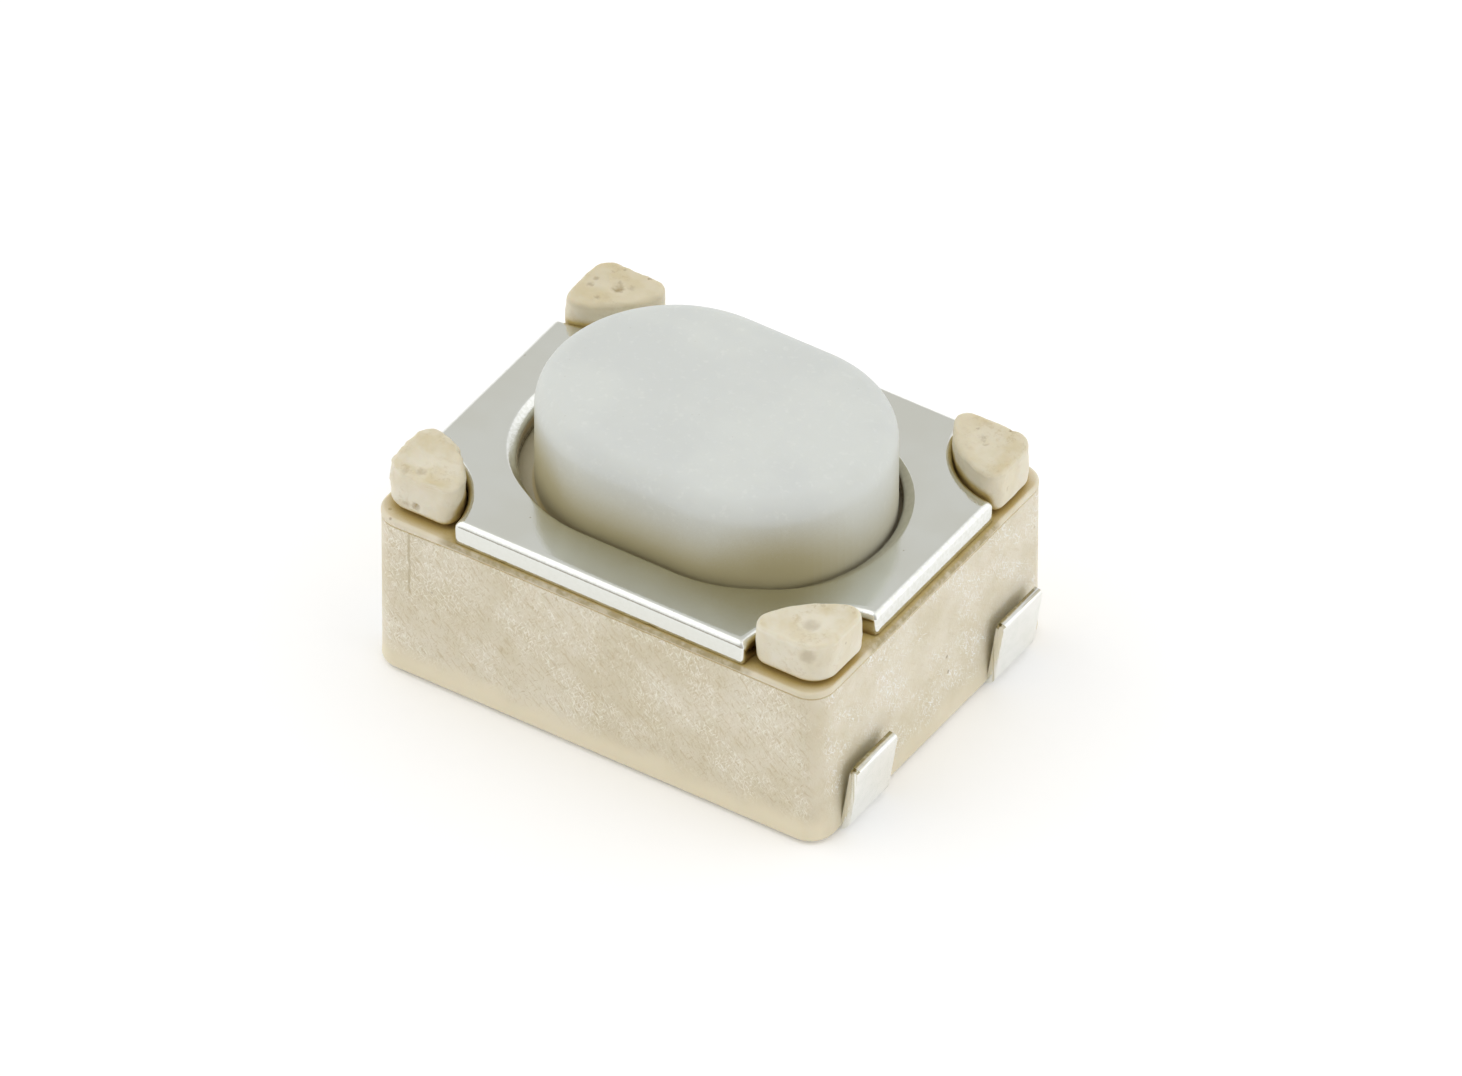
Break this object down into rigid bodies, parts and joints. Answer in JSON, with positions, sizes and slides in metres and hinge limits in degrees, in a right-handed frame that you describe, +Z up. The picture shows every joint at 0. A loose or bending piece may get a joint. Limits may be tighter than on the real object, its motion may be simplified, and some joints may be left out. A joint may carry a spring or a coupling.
{
  "type": "tactile push button switch",
  "caption": "Surface-mount tactile push button switch with a raised oval button, a metal cover held by melted corner posts, a snap dome and upturned solder terminals.",
  "frame": {"origin": "middle of the footprint, on the surface of the board that the terminals are soldered to", "axes": "+X along the long side, towards one pair of terminals; +Z up, against the way the button is pressed; the centre contact's terminals are on the -Y side"},
  "size_m": [0.0046, 0.0032, 0.0025],
  "materials": {
    "moulding": "matte beige moulding with a fine flow texture",
    "cover_metal": "satin sheet steel with bright punched edges",
    "button": "matte pale grey moulding",
    "dome_metal": "bright spring steel",
    "film": "amber polyimide film",
    "contact_metal": "silver-plated sheet"
  },
  "bodies": {
    "base": {"housing": "moulding", "cover_plate": "cover_metal", "centre_contact": "contact_metal", "outer_contact": "contact_metal", "snap_dome": "dome_metal", "dust_film": "film"},
    "button": {"push_button": "button"}
  },
  "joints": [
    {"name": "button_press", "type": "slide", "parent": "base", "child": "button", "axis": [0, 0, -1], "range_m": [0, 0.00025], "stiffness_N_per_m": 6400, "deforming": ["snap_dome", "dust_film"]}
  ]
}
